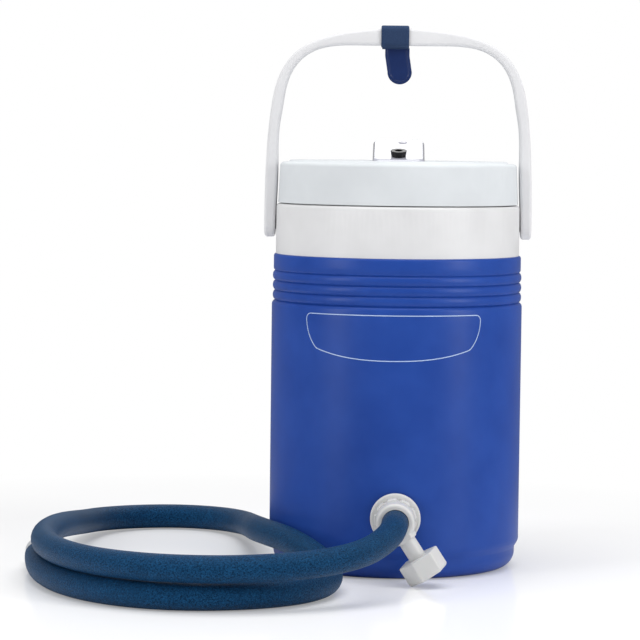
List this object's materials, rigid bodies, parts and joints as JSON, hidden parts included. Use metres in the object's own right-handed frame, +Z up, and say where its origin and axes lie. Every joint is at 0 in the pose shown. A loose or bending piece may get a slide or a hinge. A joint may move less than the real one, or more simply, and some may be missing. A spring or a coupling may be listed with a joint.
{
  "type": "cold and heat therapy machine",
  "caption": "Round insulated jug with ribbed top, screw lid with a sloped pump housing and button, bail handle with a strap, and a foam-covered water hose from a low outlet with a drain cap.",
  "frame": {"origin": "on the jug's axis, at the surface the jug stands on", "axes": "+Z up along the jug's axis; the outlet faces -Y; the handle swings about X"},
  "size_m": [0.379, 0.4368, 0.4087],
  "materials": {
    "shell_blue": "smooth blue polyethylene",
    "neck_white": "satin white plastic",
    "liner_white": "smooth white plastic",
    "lid_white": "fine brushed white plastic",
    "handle_white": "smooth white plastic",
    "housing_white": "satin white plastic",
    "rigid_foam": "closed-cell polyurethane foam",
    "fitting_white": "moulded nylon",
    "pin_white": "satin nylon",
    "strap_fabric": "hook-and-loop tape",
    "strap_glossy": "coated tape with a welded edge",
    "hose_foam": "closed-cell foam sleeve",
    "coupling_plastic": "moulded grey plastic",
    "seal_rubber": "black rubber",
    "silicone": "translucent silicone",
    "black_plastic": "black plastic",
    "board_green": "lacquered board",
    "steel": "zinc plated",
    "contact_metal": "plated contact",
    "button_grey": "polished plastic",
    "pump_plastic": "moulded acetal"
  },
  "bodies": {
    "jug": {"outer_shell": "shell_blue", "wall_insulation": "rigid_foam", "fill_plug": "shell_blue", "inner_liner": "liner_white", "neck_collar": "neck_white", "handle_pins": "pin_white", "outlet_gasket": "seal_rubber", "outlet_bulkhead": "fitting_white", "inner_washer": "seal_rubber", "locknut": "fitting_white", "strainer": "fitting_white", "outlet_tee": "fitting_white", "tee_o_ring": "seal_rubber", "hose": "hose_foam", "hose_coupling": "coupling_plastic", "coupling_rings": "seal_rubber"},
    "handle": {"carry_handle": "handle_white", "strap_loop": "strap_fabric"},
    "strap_end": {"strap_tail": "strap_glossy"},
    "seal_ring": {"lid_gasket": "silicone"},
    "lid": {"lid_shell": "lid_white", "lid_inner_cover": "lid_white", "lid_insulation": "rigid_foam", "housing_cover": "housing_white", "housing_screws": "steel", "dc_jack": "black_plastic", "jack_nut": "steel", "circuit_board": "board_green", "board_screws": "steel", "switch_contact": "contact_metal", "button_dome": "silicone", "pump_bracket": "pump_plastic", "bracket_screws": "steel", "pump_motor": "steel", "pump_frame": "pump_plastic", "pump_diaphragm": "seal_rubber", "pump_head": "pump_plastic", "air_tube": "silicone", "air_fitting": "pump_plastic"},
    "pump_rotor": {"motor_shaft": "steel", "eccentric": "pump_plastic"},
    "button": {"power_button": "button_grey"},
    "collar": {"collar_nut": "fitting_white"},
    "cap": {"drain_cap": "fitting_white", "cap_seal": "seal_rubber"},
    "latch": {"coupling_latch": "coupling_plastic"}
  },
  "joints": [
    {"name": "handle_swing", "type": "hinge", "parent": "jug", "child": "handle", "pos_m": [0, 0, 0.258], "axis": [1, 0, 0], "range_deg": [-110, 110]},
    {"name": "strap_bend", "type": "hinge", "parent": "handle", "child": "strap_end", "pos_m": [0, 0, 0.3856], "axis": [1, 0, 0], "range_deg": [-110, 110]},
    {"name": "lid_rise", "type": "slide", "parent": "jug", "child": "seal_ring", "axis": [0, 0, 1], "range_m": [0, 0.032]},
    {"name": "lid_turn", "type": "hinge", "parent": "seal_ring", "child": "lid", "pos_m": [0, 0, 0.29], "axis": [0, 0, 1], "range_deg": [0, 360]},
    {"name": "pump_spin", "type": "hinge", "parent": "lid", "child": "pump_rotor", "pos_m": [0, 0, 0.2896], "axis": [0, 1, 0], "continuous": true},
    {"name": "button_press", "type": "slide", "parent": "lid", "child": "button", "axis": [0, 0.2426, -0.9701], "range_m": [0, 0.0012], "stiffness_N_per_m": 400, "deforming": ["button_dome"]},
    {"name": "collar_turn", "type": "hinge", "parent": "jug", "child": "collar", "pos_m": [0.0011, -0.105, 0.0468], "axis": [0, -1, 0], "range_deg": [0, 360]},
    {"name": "drain_cap_turn", "type": "hinge", "parent": "jug", "child": "cap", "pos_m": [0.02289, -0.1178, 0.01325], "axis": [0.5446, 0, -0.8387], "range_deg": [0, 360]},
    {"name": "latch_press", "type": "slide", "parent": "jug", "child": "latch", "axis": [0, 0, -1], "range_m": [0, 0.0015], "stiffness_N_per_m": 400}
  ],
  "couplings": [
    {"joint": "strap_bend", "follows": "handle_swing", "ratio": -1},
    {"joint": "lid_rise", "follows": "lid_turn", "m_per_rad": 0.005093}
  ]
}
